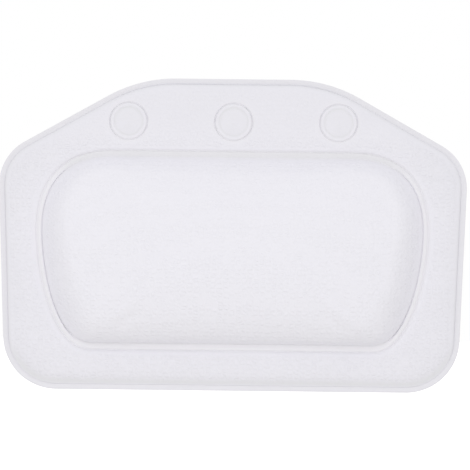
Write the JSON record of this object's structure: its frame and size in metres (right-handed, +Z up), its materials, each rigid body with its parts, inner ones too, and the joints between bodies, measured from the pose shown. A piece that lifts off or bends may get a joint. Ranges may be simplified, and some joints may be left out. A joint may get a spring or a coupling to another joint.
{
  "type": "bath pillow",
  "caption": "Welded foamed-vinyl bath pillow with a domed foam head pad, a folding flap and suction cups that hold it on the tub wall.",
  "frame": {"origin": "centre of the middle suction cup in the plane of the cups' lips, where the tub wall is", "axes": "+X along the row of cups, to the right seen from the front; +Y from the front towards the wall; +Z up"},
  "size_m": [0.3299, 0.0396, 0.22],
  "materials": {
    "vinyl_sheet": "matte",
    "welded_vinyl": "satin",
    "foam": "matte",
    "clear_vinyl": "gloss"
  },
  "bodies": {
    "flap": {"flap_front_sheet": "vinyl_sheet", "flap_back_sheet": "vinyl_sheet", "flap_rim_weld": "welded_vinyl", "cup_weld_left": "welded_vinyl", "cup_weld_middle": "welded_vinyl", "cup_weld_right": "welded_vinyl", "eyelet_left": "welded_vinyl", "eyelet_middle": "welded_vinyl", "eyelet_right": "welded_vinyl"},
    "pad": {"pad_front_sheet": "vinyl_sheet", "pad_back_sheet": "vinyl_sheet", "pad_rim_weld": "welded_vinyl", "pad_weld": "welded_vinyl", "pad_core": "foam"},
    "left_cup": {"suction_cup_left": "clear_vinyl"},
    "middle_cup": {"suction_cup_middle": "clear_vinyl"},
    "right_cup": {"suction_cup_right": "clear_vinyl"}
  },
  "joints": [
    {"name": "flap_fold", "type": "hinge", "parent": "flap", "child": "pad", "pos_m": [0, -0.0125, -0.0195], "axis": [1, 0, 0], "range_deg": [-20, 45], "stiffness_Nm_per_rad": 0.4},
    {"name": "left_cup_swivel", "type": "hinge", "parent": "flap", "child": "left_cup", "pos_m": [-0.074, 0, 0], "axis": [0, 1, 0], "continuous": true},
    {"name": "middle_cup_swivel", "type": "hinge", "parent": "flap", "child": "middle_cup", "pos_m": [0, 0, 0], "axis": [0, 1, 0], "continuous": true},
    {"name": "right_cup_swivel", "type": "hinge", "parent": "flap", "child": "right_cup", "pos_m": [0.074, 0, 0], "axis": [0, 1, 0], "continuous": true}
  ]
}
